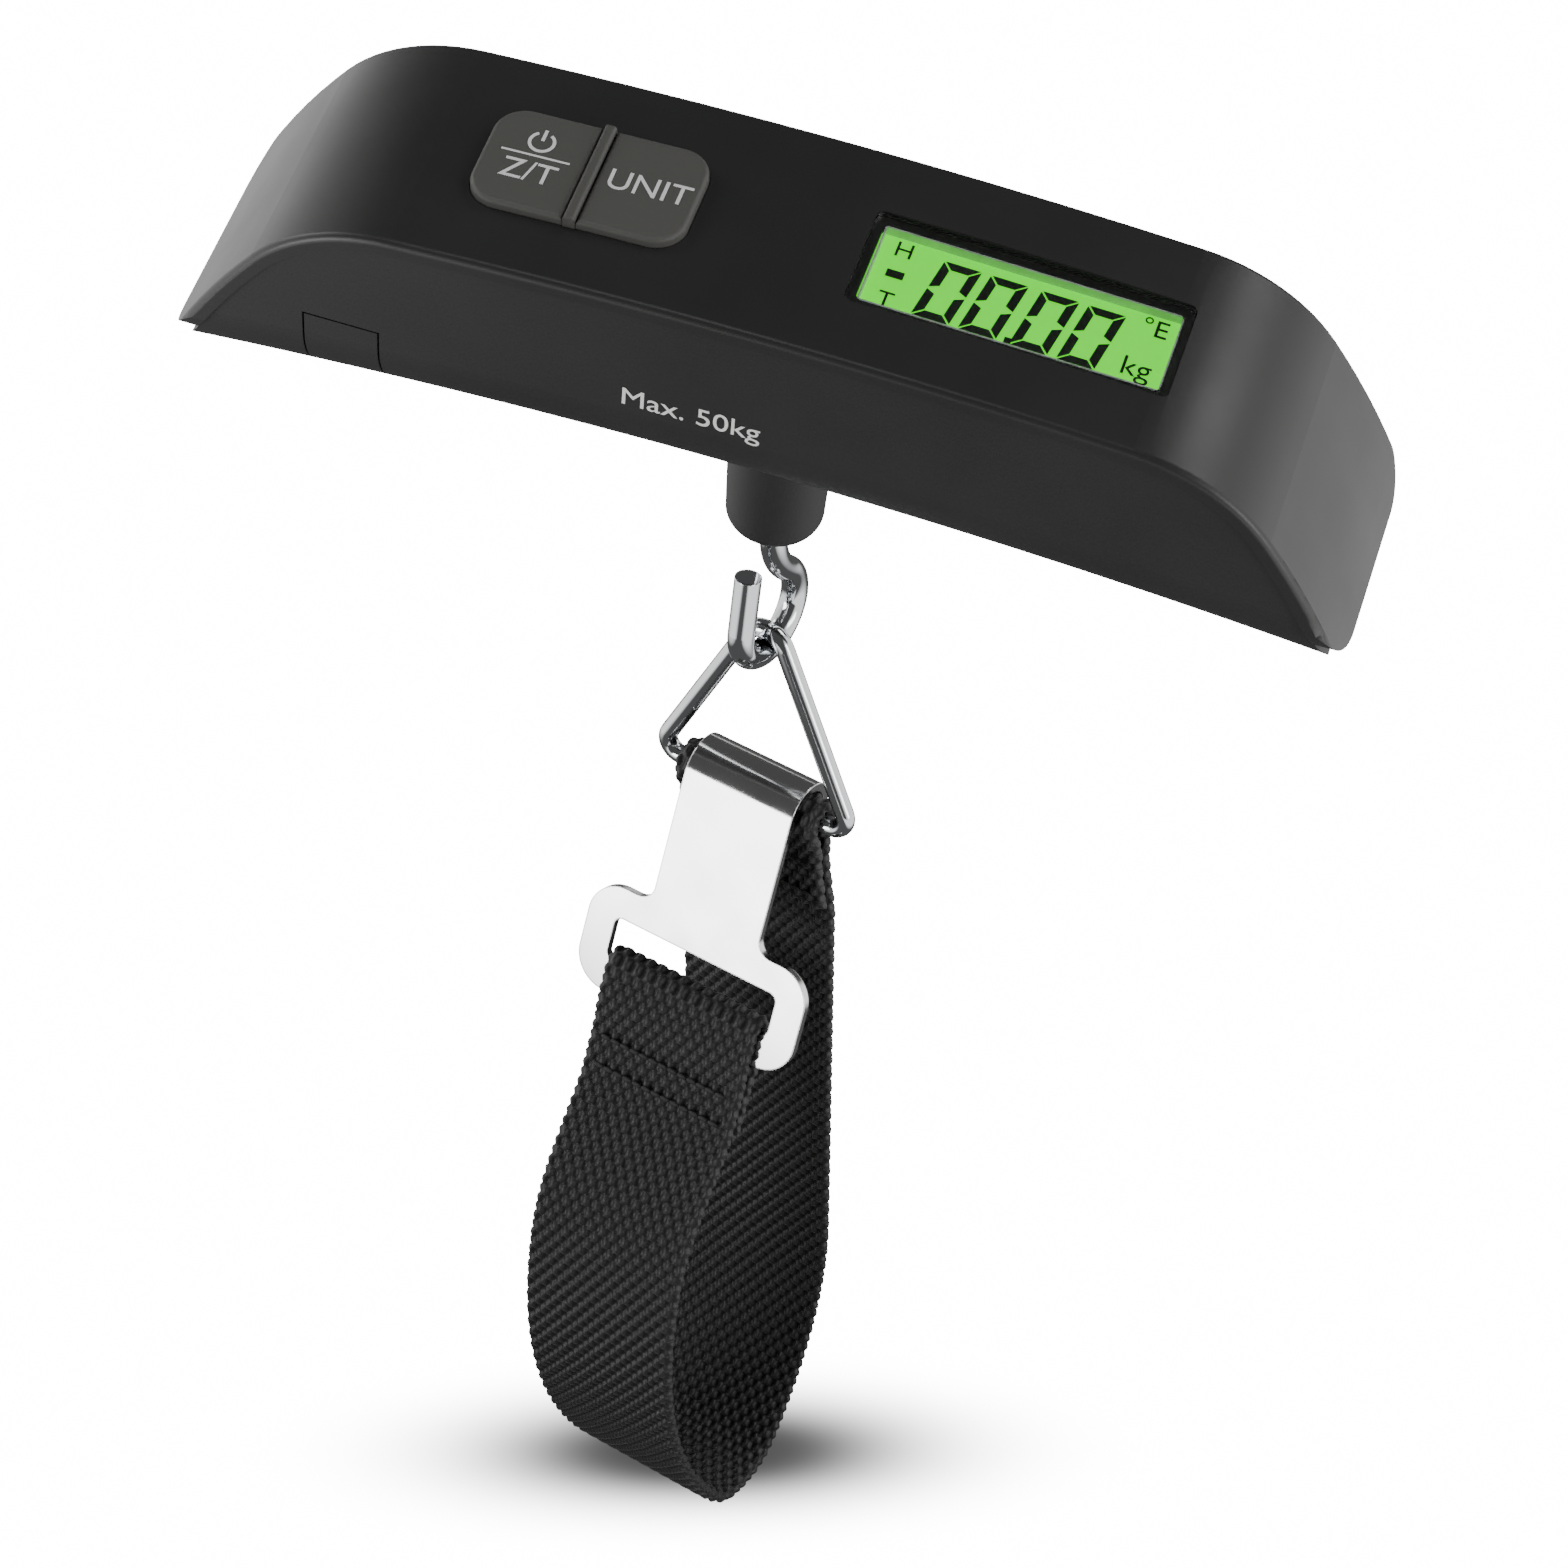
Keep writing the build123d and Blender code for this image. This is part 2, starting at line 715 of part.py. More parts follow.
with BuildPart() as thrust_washer:
    with BuildSketch(Plane.XY.offset(beam_top)):
        Circle(washer_radius)
        Circle(stud_radius + ball_fit, mode=Mode.SUBTRACT)
    extrude(amount=washer_thickness)
save(thrust_washer.part, "thrust_washer")

nut_level = beam_top + washer_thickness + ball_fit
with BuildPart() as lock_nut:
    with BuildSketch(Plane.XY.offset(nut_level)):
        RegularPolygon(nut_flats / 2, 6, major_radius=False)
        Circle(stud_radius, mode=Mode.SUBTRACT)
    extrude(amount=nut_height)
save(lock_nut.part, "lock_nut")

with BuildPart() as swivel_stud:
    with BuildSketch(Plane.XY.offset(ball_level + socket_above)):
        Circle(stud_radius)
    extrude(amount=nut_level + nut_height + 0.6 - ball_level - socket_above)
    with BuildSketch(Plane.XY.offset(ball_level - socket_below)):
        Circle(socket_radius)
    extrude(amount=socket_below + socket_above)
    chamfer(swivel_stud.edges().group_by(Axis.Z)[0], 0.4)
    chamfer(swivel_stud.edges().group_by(Axis.Z)[-1], 0.4)
    with Locations((0, 0, ball_level)):
        Sphere(ball_radius + ball_fit, mode=Mode.SUBTRACT)
save(swivel_stud.part, "swivel_stud")

# ---------------------------------------------------------------- what hangs
# These pieces are drawn straight down from the ball's centre, with the ring in the
# plane XZ and the hook across it, and are then turned and tilted together.
hang = (
    Pos(0, 0, ball_level) * Rot(0, side_lean, 0) * Rot(forward_lean, 0, 0) * Rot(0, 0, swivel_turn)
)
hook_low = hook_centre + hook_bend
ring_level = -(hook_low - hook_wire - ring_wire - ring_gap)
bar_level = ring_level - ring_height

rise = hook_centre - hook_shank
lead_bend = (rise**2 - hook_bend**2) / (2 * hook_bend)
lead_turn = degrees(atan2(rise, lead_bend))
with BuildPart() as hook:
    with BuildLine(Plane.YZ) as hook_path:
        shank = Line((0, 0), (0, -hook_shank))
        lead = JernArc(shank @ 1, shank % 1, lead_bend, lead_turn)
        bowl = JernArc(lead @ 1, lead % 1, hook_bend, -(lead_turn + 180 + hook_tip_lean))
        PolarLine(bowl @ 1, hook_tip, direction=bowl % 1)
    with BuildSketch(Plane(origin=(0, 0, 0), z_dir=(0, 0, -1))):
        Circle(hook_wire)
    sweep(path=hook_path.wire())
    Sphere(ball_radius)
save(hook.part.moved(hang), "hook")

ring_rise = ring_top_corner * (1 / sin(radians(ring_slope)) - 1)
ring_half = (ring_height + ring_rise) * tan(radians(ring_slope))
with BuildPart() as ring:
    with BuildLine(Plane.XZ) as ring_path:
        FilletPolyline(
            (0, ring_level + ring_rise),
            (ring_half, bar_level),
            (-ring_half, bar_level),
            radius=[ring_top_corner, ring_corner, ring_corner],
            close=True,
        )
    with BuildSketch(Plane(origin=(0, 0, bar_level), z_dir=(1, 0, 0))):
        Circle(ring_wire)
    sweep(path=ring_path.wire())
save(ring.part.moved(hang), "ring")

# The plate leans back at its top and hooks over the folded webbing on the ring's bar.
roll_inner = ring_wire + web_gap + web_thickness + plate_gap
roll_middle = roll_inner + plate_thickness / 2
lean = radians(plate_lean)
plate_plane = Plane(
    origin=(0, -roll_inner * cos(lean), bar_level + roll_inner * sin(lean)),
    x_dir=(1, 0, 0),
    z_dir=(0, -cos(lean), sin(lean)),
)
shoulder_y = -neck_length
slot_y = shoulder_y - slot_top - slot_height / 2
with BuildPart() as hook_plate:
    with BuildSketch(plate_plane) as plate_face:
        with Locations((0, (shoulder_y + 0.1) / 2)):
            Rectangle(2 * neck_half, -shoulder_y + 0.1)
        with Locations((0, shoulder_y - foot_length / 2)):
            RectangleRounded(2 * shoulder_half, foot_length, foot_corner)
        inner_corners = plate_face.vertices().filter_by(
            lambda v: abs(abs(v.X) - neck_half) < 0.01 and abs(v.Y - shoulder_y) < 0.01
        )
        fillet(inner_corners, neck_fillet)
        with Locations((0, slot_y)):
            RectangleRounded(2 * slot_half, slot_height, slot_corner, mode=Mode.SUBTRACT)
    extrude(amount=plate_thickness)
    roll_axis = Axis((0, 0, bar_level), (-1, 0, 0))
    with BuildSketch(Plane(origin=plate_plane.origin, x_dir=(1, 0, 0), z_dir=plate_plane.y_dir)):
        with Locations((0, -plate_thickness / 2)):
            Rectangle(2 * neck_half, plate_thickness)
    revolve(axis=roll_axis, revolution_arc=180)
    behind = (0, roll_inner * cos(lean), bar_level - roll_inner * sin(lean))
    with BuildSketch(Plane(origin=behind, x_dir=(1, 0, 0), z_dir=-plate_plane.y_dir)):
        with Locations((0, -plate_thickness / 2)):
            Rectangle(2 * neck_half, plate_thickness)
    extrude(amount=plate_lip)
save(hook_plate.part.moved(hang), "hook_plate")


# A point of the webbing seen from the side, on axes turned forward about a bar.
def beside(bar, turn, back, up):
    angle = radians(turn)
    return (
        bar[0] + back * cos(angle) + up * sin(angle),
        bar[1] + up * cos(angle) - back * sin(angle),
    )


# The fold over a bar: down one side, over the top and down the other, where the two
# layers lie together below it. The run side is +1 at the back of the bar, -1 in front.
def fold(bar, turn, over, straight, tail, run_side):
    half = (web_thickness + layer_gap) / 2
    meet = -straight - fold_drop
    FilletPolyline(
        beside(bar, turn, -run_side * half, -tail),
        beside(bar, turn, -run_side * half, meet),
        beside(bar, turn, -run_side * over, -straight),
        beside(bar, turn, -run_side * over, 0),
        radius=fold_ease,
    )
    ThreePointArc(
        beside(bar, turn, -run_side * over, 0),
        beside(bar, turn, 0, over),
        beside(bar, turn, run_side * over, 0),
    )
    return FilletPolyline(
        beside(bar, turn, run_side * over, 0),
        beside(bar, turn, run_side * over, -straight),
        beside(bar, turn, run_side * half, meet),
        beside(bar, turn, run_side * half, -tail),
        radius=fold_ease,
    )


ring_fold = ring_wire + web_gap + web_thickness / 2
plate_fold = plate_thickness / 2 + web_gap + web_thickness / 2
slot_bar = beside((0, bar_level), plate_lean, -roll_middle, slot_y - slot_height / 2)
slot_bar_height = foot_length - slot_top - slot_height

with BuildPart() as ring_strap:
    with BuildSketch(Plane.YZ):
        with BuildLine():
            start = fold((0, bar_level), -back_lean, ring_fold, 0.4, ring_tail, 1)
            down = PolarLine(start @ 1, back_length, direction=start % 1)
            upper = JernArc(down @ 1, down % 1, back_bend, -back_turn)
            lower = JernArc(upper @ 1, upper % 1, low_bend, back_turn - 90 - back_lean)
            Line(lower @ 1, (loop_y, (lower @ 1).Y))
        trace(line_width=web_thickness)
    extrude(amount=web_width / 2, both=True)
    with BuildSketch(Plane.XZ):
        with BuildLine():
            Polyline(
                (-web_gather / 2, bar_level + 6),
                (-web_gather / 2, bar_level - gather_end),
                (-web_width / 2, bar_level - gather_end - gather_run),
                (-web_width / 2, bar_level - 2 * back_length),
                (web_width / 2, bar_level - 2 * back_length),
                (web_width / 2, bar_level - gather_end - gather_run),
                (web_gather / 2, bar_level - gather_end),
                (web_gather / 2, bar_level + 6),
                close=True,
            )
        make_face()
    extrude(amount=height * 2, both=True, mode=Mode.INTERSECT)
save(ring_strap.part.moved(hang), "ring_strap")

with BuildPart() as plate_strap:
    with BuildSketch(Plane.YZ):
        with BuildLine():
            start = fold(slot_bar, plate_lean, plate_fold, slot_bar_height, plate_tail, -1)
            leave = JernArc(start @ 1, start % 1, leave_bend, -leave_turn)
            down = PolarLine(leave @ 1, front_length, direction=leave % 1)
            upper = JernArc(down @ 1, down % 1, front_bend, front_turn)
            middle = JernArc(upper @ 1, upper % 1, flank_bend, flank_turn)
            low_turn = 90 + plate_lean + leave_turn - front_turn - flank_turn
            lower = JernArc(middle @ 1, middle % 1, low_bend, low_turn)
            Line(lower @ 1, (loop_y - web_split, (lower @ 1).Y))
        trace(line_width=web_thickness)
    extrude(amount=web_width / 2, both=True)
save(plate_strap.part.moved(hang), "plate_strap")
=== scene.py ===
import bpy
import bmesh
from math import atan2, cos, degrees, pi, radians, sin
from mathutils import Euler, Matrix, Vector


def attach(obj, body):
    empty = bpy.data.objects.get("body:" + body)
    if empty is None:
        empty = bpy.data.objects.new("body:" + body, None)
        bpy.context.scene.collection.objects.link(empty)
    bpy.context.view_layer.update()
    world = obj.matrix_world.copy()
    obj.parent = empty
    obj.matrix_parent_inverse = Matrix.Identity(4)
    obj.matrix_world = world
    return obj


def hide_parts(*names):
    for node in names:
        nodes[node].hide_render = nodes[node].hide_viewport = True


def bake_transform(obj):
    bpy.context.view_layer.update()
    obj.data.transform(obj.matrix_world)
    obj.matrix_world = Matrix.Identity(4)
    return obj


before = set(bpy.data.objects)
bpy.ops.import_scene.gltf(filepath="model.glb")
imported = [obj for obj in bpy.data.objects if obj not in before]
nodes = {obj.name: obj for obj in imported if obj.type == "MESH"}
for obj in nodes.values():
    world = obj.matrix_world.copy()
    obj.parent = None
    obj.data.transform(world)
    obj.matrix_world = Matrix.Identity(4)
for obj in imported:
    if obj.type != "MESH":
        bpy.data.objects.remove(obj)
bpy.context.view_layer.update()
mm = 0.001


def srgb(text):
    channels = [int(text[i:i + 2], 16) / 255 for i in (1, 3, 5)]
    linear = [c / 12.92 if c <= 0.04045 else ((c + 0.055) / 1.055) ** 2.4 for c in channels]
    return (*linear, 1.0)


def addNode(tree, kind, links=(), **values):
    node = tree.nodes.new(kind)
    for name, value in values.items():
        setattr(node, name, value)
    for source, socket in links:
        tree.links.new(source, node.inputs[socket])
    return node


def surface(name, colour, roughness, metallic=0.0, ior=1.46):
    material = bpy.data.materials.new(name)
    material.use_nodes = True
    tree = material.node_tree
    shader = tree.nodes["Principled BSDF"]
    shader.inputs["Base Color"].default_value = srgb(colour)
    shader.inputs["Roughness"].default_value = roughness
    shader.inputs["Metallic"].default_value = metallic
    shader.inputs["IOR"].default_value = ior
    return material, tree, shader


# Fine moulded grain: noise in millimetres drives a small bump and a little roughness.
def grain(tree, shader, size, height, roughLow, roughHigh):
    place = addNode(tree, "ShaderNodeTexCoord")
    fine = addNode(tree, "ShaderNodeTexNoise", [(place.outputs["Object"], "Vector")])
    fine.inputs["Scale"].default_value = 1 / (size * mm)
    fine.inputs["Detail"].default_value = 4.0
    wide = addNode(tree, "ShaderNodeTexNoise", [(place.outputs["Object"], "Vector")])
    wide.inputs["Scale"].default_value = 1 / (22 * mm)
    wide.inputs["Detail"].default_value = 5.0
    bump = addNode(tree, "ShaderNodeBump", [(fine.outputs["Fac"], "Height")])
    bump.inputs["Strength"].default_value = 1.0
    bump.inputs["Distance"].default_value = height * mm
    spread = addNode(tree, "ShaderNodeMapRange", [(wide.outputs["Fac"], "Value")])
    spread.inputs["From Min"].default_value = 0.3
    spread.inputs["From Max"].default_value = 0.7
    spread.inputs["To Min"].default_value = roughLow
    spread.inputs["To Max"].default_value = roughHigh
    tree.links.new(bump.outputs["Normal"], shader.inputs["Normal"])
    tree.links.new(spread.outputs["Result"], shader.inputs["Roughness"])


# Satin black shell: a fine grain that breaks up the sheen along the arch.
coverPlastic, tree, shader = surface("moulded ABS, satin black", "#2a2a2a", 0.4, ior=1.54)
grain(tree, shader, 0.16, 0.006, 0.36, 0.44)
# Spark-eroded mould texture: coarser and duller than the cover.
housingPlastic, tree, shader = surface("moulded ABS, spark-textured black", "#262626", 0.5, ior=1.54)
grain(tree, shader, 0.24, 0.014, 0.46, 0.55)
# Soft keys: dark grey silicone with hardly any shine.
keyRubber, tree, shader = surface("silicone rubber, dark grey", "#5c5c59", 0.5, ior=1.41)
grain(tree, shader, 0.2, 0.006, 0.46, 0.56)
innerPlastic, tree, shader = surface("moulded ABS, light grey", "#e2e4e2", 0.45, ior=1.54)
# Inside parts, seen only through the battery door.
boardLaminate, tree, shader = surface("FR4 laminate, green solder mask", "#1d5a34", 0.35, ior=1.55)
chipResin, tree, shader = surface("epoxy moulding compound, black", "#1c1c1d", 0.5, ior=1.55)
plainSteel, tree, shader = surface("steel, bright zinc plated", "#b9bbbd", 0.3, metallic=1.0, ior=2.5)
beamAlloy, tree, shader = surface("aluminium alloy, machined", "#c6c8ca", 0.32, metallic=1.0, ior=1.44)
stripRubber, tree, shader = surface("silicone rubber, conductive strip", "#c9c0b8", 0.6, ior=1.41)
sleevePlastic, tree, shader = surface("PVC wire sleeve, red", "#a01c18", 0.4, ior=1.53)
gaugeFilm, tree, shader = surface("polyimide film, amber", "#b87a2a", 0.3, ior=1.7)
# Inks and display segments: flat, matt colours with crisp edges.
legendInk, tree, shader = surface("screen-print ink, white", "#ffffff", 0.5, ior=1.5)
greyInk, tree, shader = surface("screen-print ink, pale grey", "#f0f0ee", 0.55, ior=1.5)
digitInk, tree, shader = surface("liquid crystal segment, dark", "#050805", 0.35, ior=1.5)
# Sewing thread, a little duller than the webbing.
threadFibre, tree, shader = surface("polyester thread, black", "#1b1b1c", 0.7, ior=1.56)

# Chrome and polished steel: faint drawn streaks and handling marks vary the roughness.
def polished(name, colour, roughLow, roughHigh):
    material, tree, shader = surface(name, colour, roughLow, metallic=1.0, ior=2.9)
    place = addNode(tree, "ShaderNodeTexCoord")
    marks = addNode(tree, "ShaderNodeTexNoise", [(place.outputs["Object"], "Vector")])
    marks.inputs["Scale"].default_value = 1 / (6 * mm)
    marks.inputs["Detail"].default_value = 8.0
    spread = addNode(tree, "ShaderNodeMapRange", [(marks.outputs["Fac"], "Value")])
    spread.inputs["From Min"].default_value = 0.42
    spread.inputs["From Max"].default_value = 0.75
    spread.inputs["To Min"].default_value = roughLow
    spread.inputs["To Max"].default_value = roughHigh
    tree.links.new(spread.outputs["Result"], shader.inputs["Roughness"])
    rounded = addNode(tree, "ShaderNodeBevel", samples=6)
    rounded.inputs["Radius"].default_value = 0.3 * mm
    tree.links.new(rounded.outputs["Normal"], shader.inputs["Normal"])
    return material


chrome = polished("chrome plate, bright", "#dcdee0", 0.05, 0.1)
polishedSteel = polished("stainless steel, polished", "#e6e6e6", 0.12, 0.18)

# Lens: clear acrylic. The display cell glows green from its light guide.
lensAcrylic, tree, shader = surface("acrylic, clear", "#ffffff", 0.03, ior=1.49)
shader.inputs["Transmission Weight"].default_value = 1.0
litCell, tree, shader = surface("display cell, green backlit", "#46c800", 0.25, ior=1.52)
shader.inputs["Emission Color"].default_value = srgb("#4cf000")
shader.inputs["Emission Strength"].default_value = 1.35

# Webbing fibre: a matte black nylon whose yarns carry fine filaments.
webFibre, tree, shader = surface("nylon webbing, black", "#202021", 0.5, ior=1.53)
place = addNode(tree, "ShaderNodeTexCoord")
stretch = addNode(tree, "ShaderNodeMapping", [(place.outputs["UV"], "Vector")])
stretch.inputs["Scale"].default_value = (1 / (0.09 * mm), 1 / (0.7 * mm), 1.0)
filament = addNode(tree, "ShaderNodeTexNoise", [(stretch.outputs["Vector"], "Vector")])
filament.inputs["Scale"].default_value = 1.0
filament.inputs["Detail"].default_value = 3.0
tone = addNode(tree, "ShaderNodeValToRGB", [(filament.outputs["Fac"], "Fac")])
tone.color_ramp.elements[0].position = 0.3
tone.color_ramp.elements[0].color = srgb("#0e0e0f")
tone.color_ramp.elements[1].position = 0.72
tone.color_ramp.elements[1].color = srgb("#29292a")
bump = addNode(tree, "ShaderNodeBump", [(filament.outputs["Fac"], "Height")])
bump.inputs["Strength"].default_value = 0.8
bump.inputs["Distance"].default_value = 0.05 * mm
# Painted shade: the base colour darkens in the gaps between raised yarns, following the swell attribute.
raised = addNode(tree, "ShaderNodeAttribute", attribute_name="swell")
paintedGapShade = addNode(tree, "ShaderNodeMapRange", [(raised.outputs["Fac"], "Value")])
paintedGapShade.inputs["From Min"].default_value = -0.3
paintedGapShade.inputs["From Max"].default_value = 0.75
paintedGapShade.inputs["To Min"].default_value = 0.12
paintedGapShade.inputs["To Max"].default_value = 1.0
yarnColourWithShade = addNode(tree, "ShaderNodeVectorMath", [
    (tone.outputs["Color"], 0), (paintedGapShade.outputs["Result"], 1)], operation="MULTIPLY")
tree.links.new(yarnColourWithShade.outputs["Vector"], shader.inputs["Base Color"])
tree.links.new(bump.outputs["Normal"], shader.inputs["Normal"])
shader.inputs["Sheen Weight"].default_value = 0.15
shader.inputs["Sheen Roughness"].default_value = 0.5
print("materials made", flush=True)

# The carried-over nodes and what each is made of; the rest are plated steel.
finishes = {
    "top_cover": coverPlastic, "lower_housing": housingPlastic, "battery_door": housingPlastic,
    "power_button": keyRubber, "unit_button": keyRubber, "button_rib": keyRubber,
    "lcd_lens": lensAcrylic, "lcd_glass": litCell, "lcd_frame": innerPlastic,
    "backlight": lensAcrylic, "hook": chrome, "ring": chrome, "hook_plate": polishedSteel,
    "main_board": boardLaminate, "controller_chip": chipResin, "thermistor": chipResin,
    "zebra_strip": stripRubber, "battery_wires": sleevePlastic, "sensor_wires": sleevePlastic,
    "load_cell": beamAlloy, "strain_gauges": gaugeFilm,
}
for name, node in nodes.items():
    node.data.materials.clear()
    node.data.materials.append(finishes.get(name, plainSteel))
print("finishes set", flush=True)


# The hanging assembly's own axes: straight down from the ball's centre, then turned.
hang = (
    Matrix.Translation((0, 0, -15 * mm))
    @ Matrix.Rotation(radians(-4.2), 4, "Y")
    @ Matrix.Rotation(radians(-12.8), 4, "X")
    @ Matrix.Rotation(radians(-16.4), 4, "Z")
)


def beside(bar, turn, back, up):
    angle = radians(turn)
    return (
        bar[0] + back * cos(angle) + up * sin(angle),
        bar[1] + up * cos(angle) - back * sin(angle),
    )


# The strap in millimetres: its section, its two sewn folds and the runs between them.
web = {
    "width": 24.6, "gather": 22.6, "thickness": 1.8, "bar": (0.0, -51.55), "backLean": 5.4,
    "ringFold": 2.32, "plateFold": 1.62, "plateLean": 19.0, "ringTail": 15.0, "plateTail": 16.0,
    "rollMiddle": 4.12, "slotBar": -30.4, "barHeight": 4.8, "drop": 4.6,
    "backLength": 69.7, "backBend": 51.8, "backTurn": 43.4, "lowBend": 8.0,
    "leaveBend": 15.0, "leaveTurn": 14.0, "frontLength": 8.6, "frontBend": 31.3,
    "frontTurn": 25.8, "flankBend": 74.0, "flankTurn": 45.5,
    "yarn": 0.92, "row": 1.5, "bump": 0.46,
}


# A path of short steps: each leg is a length, a bend radius (0 for straight) and a turn.
def walk(start, heading, legs, step=0.22):
    points = [Vector(start)]
    angle = radians(heading)
    for length, bend, turn in legs:
        run = abs(radians(turn)) * bend if bend else length
        count = max(2, round(run / step))
        for i in range(count):
            part = radians(turn) / count
            angle += part / 2
            points.append(points[-1] + Vector((cos(angle), sin(angle))) * run / count)
            angle += part / 2
    return points


def foldPoints(bar, turn, over, straight, tail, side):
    half = web["thickness"] / 2 + 0.05
    meet = -straight - web["drop"]
    outline = [
        beside(bar, turn, -side * half, -tail), beside(bar, turn, -side * half, meet),
        beside(bar, turn, -side * over, -straight), beside(bar, turn, -side * over, 0),
    ]
    top = [
        beside(bar, turn, -side * over * cos(radians(a)), over * sin(radians(a)))
        for a in range(10, 180, 10)
    ]
    after = [
        beside(bar, turn, side * over, 0), beside(bar, turn, side * over, -straight),
        beside(bar, turn, side * half, meet), beside(bar, turn, side * half, -tail),
    ]
    return [Vector(p) for p in outline + top + after]


# Evenly spaced points along a chain of corners, its corners eased.
def even(points, step):
    for _ in range(2):
        dense = []
        for a, b in zip(points, points[1:]):
            n = max(1, round((b - a).length / step))
            dense += [a.lerp(b, i / n) for i in range(n)]
        dense.append(points[-1])
        eased = [dense[0]]
        for i in range(1, len(dense) - 1):
            eased.append(dense[i - 1] * 0.25 + dense[i] * 0.5 + dense[i + 1] * 0.25)
        eased.append(dense[-1])
        points = eased
    for _ in range(12):
        points = [points[0]] + [
            points[i - 1] * 0.25 + points[i] * 0.5 + points[i + 1] * 0.25
            for i in range(1, len(points) - 1)
        ] + [points[-1]]
    return points


plateBar = beside(web["bar"], web["plateLean"], -web["rollMiddle"], web["slotBar"])
ringEnd = foldPoints(web["bar"], -web["backLean"], web["ringFold"], 0.4, web["ringTail"], 1)
backRun = walk(ringEnd[-1], -90 + web["backLean"], [
    (web["backLength"], 0, 0), (0, web["backBend"], -web["backTurn"]),
    (0, web["lowBend"], web["backTurn"] - 90 - web["backLean"]),
])
plateEnd = foldPoints(plateBar, web["plateLean"], web["plateFold"], web["barHeight"], web["plateTail"], -1)
lowTurn = 90 + web["plateLean"] + web["leaveTurn"] - web["frontTurn"] - web["flankTurn"]
frontRun = walk(plateEnd[-1], -90 - web["plateLean"], [
    (0, web["leaveBend"], -web["leaveTurn"]), (web["frontLength"], 0, 0),
    (0, web["frontBend"], web["frontTurn"]), (0, web["flankBend"], web["flankTurn"]),
    (0, web["lowBend"], lowTurn),
])
centre = even(ringEnd[:-1] + backRun + frontRun[::-1] + plateEnd[::-1][1:], 0.26)


# One closed band: yarns stand out of both faces in staggered rows, round at the edges.
def webbing(name, centre):
    travelled = [0.0]
    for a, b in zip(centre, centre[1:]):
        travelled.append(travelled[-1] + (b - a).length)
    across = 112
    half = web["thickness"] / 2 - web["bump"] * 0.55
    bm = bmesh.new()
    uv = bm.loops.layers.uv.new("UVMap")
    rings = []
    heights = []
    for i, point in enumerate(centre):
        ahead = (centre[min(i + 1, len(centre) - 1)] - centre[max(i - 1, 0)]).normalized()
        out = Vector((-ahead.y, ahead.x))
        below = web["bar"][1] - point.y
        narrow = 1 - min(1, max(0, (below - 8) / 9))
        if point.x < -9 or below > 30:
            narrow = 0
        width = web["width"] + (web["gather"] - web["width"]) * narrow
        ring = []
        for side in (1, -1):
            for j in range(across):
                t = j / across if side > 0 else 1 - j / across
                u = (t - 0.5) * web["width"]
                edge = min(1, (0.5 - abs(t - 0.5)) * web["width"] / 0.9)
                column = pi * u / web["yarn"]
                row = pi * travelled[i] / web["row"]
                stagger = cos(column) * cos(row) * side
                swell = abs(stagger) ** 0.6 * (1 if stagger > 0 else -0.6)
                heights.append(swell * edge)
                lift = half * (edge * (2 - edge)) ** 0.5 + web["bump"] * swell * edge
                picot = 0.16 * cos(2 * row) * (1 - edge)
                x = u * width / web["width"] + (picot if t > 0.5 else -picot)
                flat = point + out * lift * side
                ring.append((bm.verts.new(hang @ (Vector((x, flat.x, flat.y)) * mm)), u, travelled[i]))
        rings.append(ring)
    count = len(rings[0])
    for a, b in zip(rings, rings[1:]):
        for j in range(count):
            k = (j + 1) % count
            corners = [a[j], b[j], b[k], a[k]]
            face = bm.faces.new([c[0] for c in corners])
            face.smooth = True
            for loop, c in zip(face.loops, corners):
                loop[uv].uv = (c[1] * mm, c[2] * mm)
    for ring in (rings[0], rings[-1]):
        bm.faces.new([c[0] for c in ring])
    bmesh.ops.recalc_face_normals(bm, faces=bm.faces)
    mesh = bpy.data.meshes.new(name)
    bm.to_mesh(mesh)
    bm.free()
    mesh.attributes.new("swell", "FLOAT", "POINT").data.foreach_set("value", heights)
    made = bpy.data.objects.new(name, mesh)
    bpy.context.collection.objects.link(made)
    mesh.materials.append(webFibre)
    return made


strap = webbing("strap_webbing", centre)
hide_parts("ring_strap", "plate_strap")
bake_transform(strap)
print("webbing made", len(strap.data.vertices), flush=True)


# Text turned to a thin mesh in its place.
def printed(name, body, material, text, size, place):
    curve = bpy.data.curves.new(name, "FONT")
    curve.body = text
    curve.size = size * mm
    curve.align_x = "CENTER"
    curve.align_y = "CENTER"
    curve.extrude = 0.02 * mm
    flat = bpy.data.objects.new(name + "_text", curve)
    bpy.context.collection.objects.link(flat)
    flat.matrix_world = place
    bpy.context.view_layer.update()
    mesh = bpy.data.meshes.new_from_object(flat.evaluated_get(bpy.context.evaluated_depsgraph_get()))
    mesh.transform(place)
    bpy.data.objects.remove(flat)
    made = bpy.data.objects.new(name, mesh)
    bpy.context.collection.objects.link(made)
    mesh.materials.clear()
    mesh.materials.append(material)
    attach(made, body)
    return made


# A thin flat shape from outlines in millimetres, laid in a plane.
def shape(name, body, material, outlines, place, thick=0.03):
    bm = bmesh.new()
    for outline in outlines:
        lower = [bm.verts.new(place @ (Vector((x, y, 0)) * mm)) for x, y in outline]
        upper = [bm.verts.new(place @ (Vector((x, y, thick)) * mm)) for x, y in outline]
        bm.faces.new(upper)
        bm.faces.new(lower[::-1])
        for i in range(len(outline)):
            k = (i + 1) % len(outline)
            bm.faces.new([lower[i], lower[k], upper[k], upper[i]])
    mesh = bpy.data.meshes.new(name)
    bm.to_mesh(mesh)
    bm.free()
    made = bpy.data.objects.new(name, mesh)
    bpy.context.collection.objects.link(made)
    mesh.materials.append(material)
    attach(made, body)
    return made


